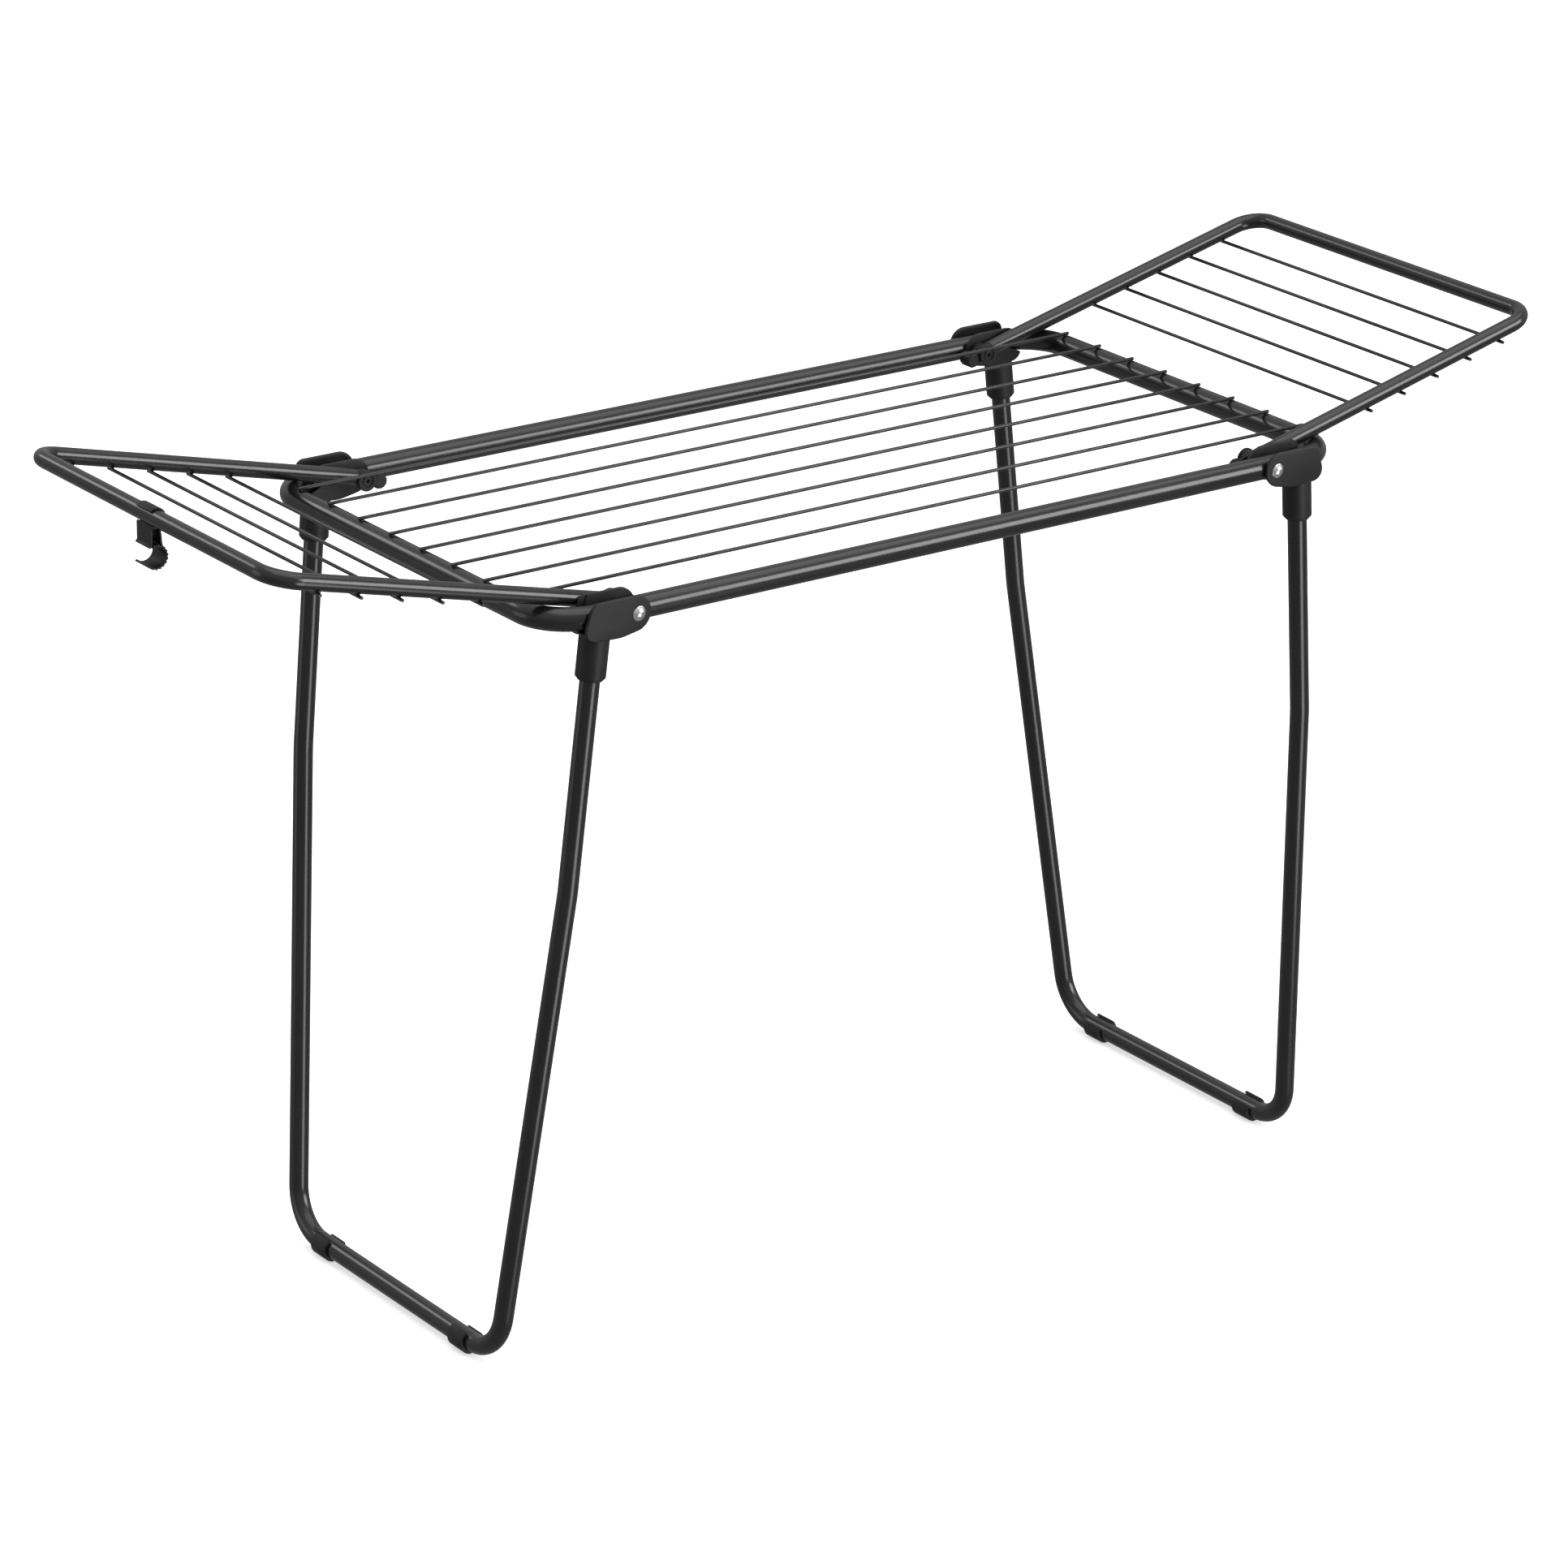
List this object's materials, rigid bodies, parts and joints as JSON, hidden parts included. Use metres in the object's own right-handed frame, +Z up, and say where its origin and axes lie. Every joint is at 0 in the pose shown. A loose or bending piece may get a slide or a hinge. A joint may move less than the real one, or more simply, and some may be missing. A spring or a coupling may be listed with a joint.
{
  "type": "clothes drying rack",
  "caption": "Folding clothes drying rack with a wired frame on two splayed U-shaped leg frames, a raised wired wing at each end and a hook on one wing.",
  "frame": {"origin": "on the floor under the middle of the whole rack, hook included", "axes": "+X along the drying wires towards the wing without the hook, +Y across the rack from the front to the back, +Z up"},
  "size_m": [1.6974, 0.5932, 0.9831],
  "materials": {
    "black_coated_steel": "satin",
    "black_plastic": "matte",
    "polished_steel": "polished"
  },
  "bodies": {
    "main_frame": {"main_frame_tube": "black_coated_steel", "main_wire_1": "black_coated_steel", "main_wire_2": "black_coated_steel", "main_wire_3": "black_coated_steel", "main_wire_4": "black_coated_steel", "main_wire_5": "black_coated_steel", "main_wire_6": "black_coated_steel", "main_wire_7": "black_coated_steel", "main_wire_8": "black_coated_steel", "rivet_left_front": "polished_steel", "rivet_left_back": "polished_steel", "rivet_right_front": "polished_steel", "rivet_right_back": "polished_steel"},
    "left_legs": {"left_leg_tube": "black_coated_steel", "left_leg_bracket_front": "black_plastic", "left_leg_bracket_back": "black_plastic", "left_foot_front": "black_plastic", "left_foot_back": "black_plastic"},
    "right_legs": {"right_leg_tube": "black_coated_steel", "right_leg_bracket_front": "black_plastic", "right_leg_bracket_back": "black_plastic", "right_foot_front": "black_plastic", "right_foot_back": "black_plastic"},
    "left_wing": {"left_wing_tube": "black_coated_steel", "left_wing_wire_1": "black_coated_steel", "left_wing_wire_2": "black_coated_steel", "left_wing_wire_3": "black_coated_steel", "left_wing_wire_4": "black_coated_steel", "left_wing_wire_5": "black_coated_steel", "left_wing_end_front": "black_plastic", "left_wing_end_back": "black_plastic"},
    "right_wing": {"right_wing_tube": "black_coated_steel", "right_wing_wire_1": "black_coated_steel", "right_wing_wire_2": "black_coated_steel", "right_wing_wire_3": "black_coated_steel", "right_wing_wire_4": "black_coated_steel", "right_wing_wire_5": "black_coated_steel", "right_wing_end_front": "black_plastic", "right_wing_end_back": "black_plastic"},
    "hook": {"wing_hook": "black_plastic"}
  },
  "joints": [
    {"name": "left_legs_fold", "type": "hinge", "parent": "main_frame", "child": "left_legs", "pos_m": [-0.42819, 0, 0.8692], "axis": [0, -1, 0], "range_deg": [0, 91.5]},
    {"name": "right_legs_fold", "type": "hinge", "parent": "main_frame", "child": "right_legs", "pos_m": [0.42981, 0, 0.8692], "axis": [0, 1, 0], "range_deg": [0, 95.5]},
    {"name": "left_wing_fold", "type": "hinge", "parent": "main_frame", "child": "left_wing", "pos_m": [-0.42819, 0, 0.8692], "axis": [0, 1, 0], "range_deg": [0, 162]},
    {"name": "right_wing_fold", "type": "hinge", "parent": "main_frame", "child": "right_wing", "pos_m": [0.42981, 0, 0.8692], "axis": [0, -1, 0], "range_deg": [0, 159]},
    {"name": "hook_swing", "type": "hinge", "parent": "left_wing", "child": "hook", "pos_m": [-0.83795, 0, 0.97157], "axis": [0, -1, 0], "range_deg": [-50, 30]}
  ]
}
